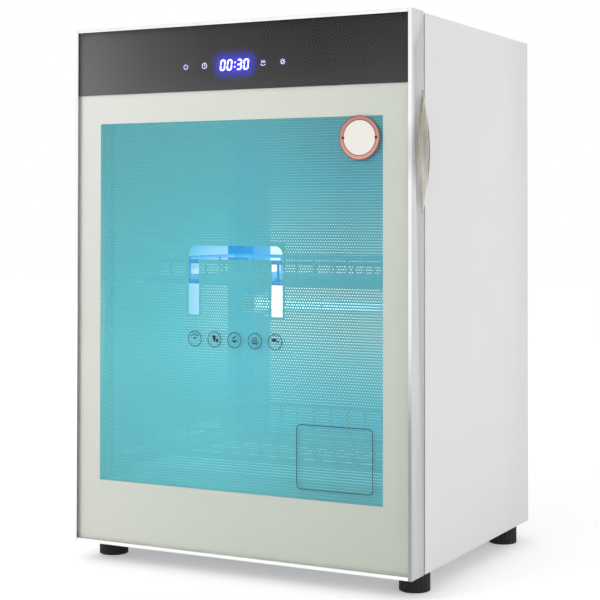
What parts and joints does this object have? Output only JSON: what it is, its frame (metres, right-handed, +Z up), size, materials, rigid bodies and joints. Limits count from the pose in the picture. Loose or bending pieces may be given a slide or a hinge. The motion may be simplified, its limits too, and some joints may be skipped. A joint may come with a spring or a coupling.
{
  "type": "dish sterilizer cabinet",
  "caption": "Countertop ultraviolet dish sterilizer with a glazed side-hinged door, a finger cup in its frame, a lit touch band, sliding wire racks and a drip tray.",
  "frame": {"origin": "on the floor under the middle of the cabinet, door included", "axes": "+Z up; -Y towards the front, where the door faces; +X towards the cabinet's right side, where the finger cup is; the hinge is at -X"},
  "size_m": [0.437, 0.3703, 0.6223],
  "materials": {
    "white_paint": "satin",
    "zinc_steel": "zinc plated",
    "stainless": "brushed",
    "aluminium": "satin anodised",
    "black_rubber": "matt",
    "black_plastic": "matt",
    "grey_plastic": "matt",
    "quartz_tube": "clear tube, lit blue",
    "ceramic": "matt",
    "board_green": "coated",
    "clear_glass": "polished",
    "dark_glass": "polished, dark",
    "cream_film": "printed film",
    "teal_film": "printed film with dots",
    "display_black": "dark with lit digits"
  },
  "bodies": {
    "cabinet": {"side_panel_left": "white_paint", "side_panel_right": "white_paint", "top_panel": "white_paint", "rear_cover": "white_paint", "front_collar": "white_paint", "base_pan": "zinc_steel", "liner_left": "stainless", "liner_right": "stainless", "liner_top": "stainless", "liner_floor": "stainless", "liner_back": "stainless", "upper_rail_left": "stainless", "upper_rail_right": "stainless", "lower_rail_left": "stainless", "lower_rail_right": "stainless", "foot_front_left": "black_rubber", "foot_front_right": "black_rubber", "foot_rear_left": "black_rubber", "foot_rear_right": "black_rubber", "hinge_bracket_top": "zinc_steel", "hinge_bracket_bottom": "zinc_steel", "hinge_pin_top": "zinc_steel", "hinge_pin_bottom": "zinc_steel", "catch_magnet": "black_plastic", "door_sensor": "grey_plastic", "uv_lamp": "quartz_tube", "lamp_socket_left": "ceramic", "lamp_socket_right": "ceramic", "lamp_guard": "stainless", "air_duct_cover": "stainless", "heater_housing": "zinc_steel", "heater_core": "aluminium", "fan_frame": "black_plastic", "power_board": "board_green", "lamp_ballast": "zinc_steel", "cord_gland": "black_plastic"},
    "door": {"door_stile_left": "aluminium", "door_stile_right": "aluminium", "door_rail_top": "aluminium", "door_rail_bottom": "aluminium", "door_mid_rail": "aluminium", "handle_cup": "aluminium", "stile_plug_top": "grey_plastic", "stile_plug_bottom": "grey_plastic", "hinge_bush_top": "grey_plastic", "hinge_bush_bottom": "grey_plastic", "door_glass": "clear_glass", "control_glass": "dark_glass", "window_border": "cream_film", "window_screen": "teal_film", "door_gasket": "black_rubber", "catch_plate": "zinc_steel", "control_housing": "black_plastic", "control_board": "board_green", "display_module": "display_black"},
    "upper_basket": {"upper_rack": "stainless"},
    "lower_basket": {"lower_rack": "stainless"},
    "tray": {"drip_tray": "stainless"},
    "fan": {"fan_impeller": "black_plastic"}
  },
  "joints": [
    {"name": "door_hinge", "type": "hinge", "parent": "cabinet", "child": "door", "pos_m": [-0.207, -0.161, 0.022], "axis": [0, 0, -1], "range_deg": [0, 115]},
    {"name": "upper_rack_slide", "type": "slide", "parent": "cabinet", "child": "upper_basket", "axis": [0, -1, 0], "range_m": [0, 0.19]},
    {"name": "lower_rack_slide", "type": "slide", "parent": "cabinet", "child": "lower_basket", "axis": [0, -1, 0], "range_m": [0, 0.19]},
    {"name": "drip_tray_slide", "type": "slide", "parent": "cabinet", "child": "tray", "axis": [0, -1, 0], "range_m": [0, 0.19]},
    {"name": "fan_spin", "type": "hinge", "parent": "cabinet", "child": "fan", "pos_m": [0, 0.0972, 0.0513], "axis": [0, 1, 0], "continuous": true}
  ],
  "couplings": [
    {"joint": "upper_rack_slide", "follows": "door_hinge", "m_per_rad": 0.0946},
    {"joint": "lower_rack_slide", "follows": "door_hinge", "m_per_rad": 0.0946},
    {"joint": "drip_tray_slide", "follows": "door_hinge", "m_per_rad": 0.0946}
  ]
}
